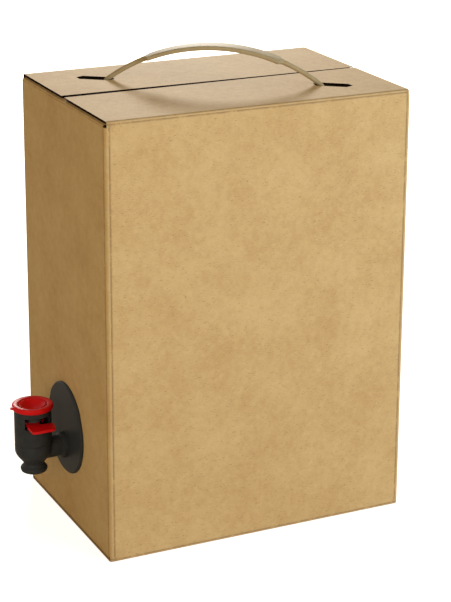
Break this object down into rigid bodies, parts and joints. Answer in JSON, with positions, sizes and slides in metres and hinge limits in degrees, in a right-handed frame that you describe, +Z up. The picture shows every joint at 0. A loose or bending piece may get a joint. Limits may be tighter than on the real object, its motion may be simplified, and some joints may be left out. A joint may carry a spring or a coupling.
{
  "type": "bag in box carton",
  "caption": "Upright kraft carton with a filled bag inside, a push-button tap low on one narrow side and a strap handle across the top.",
  "frame": {"origin": "on the base plane, under the middle of the whole object's box, tap included", "axes": "+Z up; +X along the carton's long side, away from the tap; -Y is the broad front panel"},
  "size_m": [0.2252, 0.131, 0.2821],
  "materials": {
    "kraft_board": "uncoated brown kraft, matt, with fibre flecks",
    "bag_film": "metallised barrier film over liquid",
    "natural_plastic": "natural polyethylene, moulded",
    "strap_plastic": "cream polyethylene, moulded, satin",
    "black_plastic": "black polypropylene, moulded, fine matt",
    "red_plastic": "red polypropylene, moulded, semi-gloss",
    "grey_rubber": "grey elastomer, matt"
  },
  "bodies": {
    "root": {"carton": "kraft_board", "bag": "bag_film", "spout_gland": "natural_plastic", "tap_body": "black_plastic", "finger_wings": "red_plastic", "cap_ring": "red_plastic", "return_bellows": "grey_rubber"},
    "button": {"push_button": "red_plastic", "valve_stem": "natural_plastic", "valve_plug": "grey_rubber"},
    "strap": {"handle": "strap_plastic"}
  },
  "joints": [
    {"name": "button_press", "type": "slide", "parent": "root", "child": "button", "axis": [0, 0, -1], "range_m": [0, 0.004], "stiffness_N_per_m": 2500, "springref_m": -0.004, "deforming": ["return_bellows"]},
    {"name": "handle_lift", "type": "slide", "parent": "root", "child": "strap", "axis": [0, 0, 1], "range_m": [0, 0.006]}
  ]
}
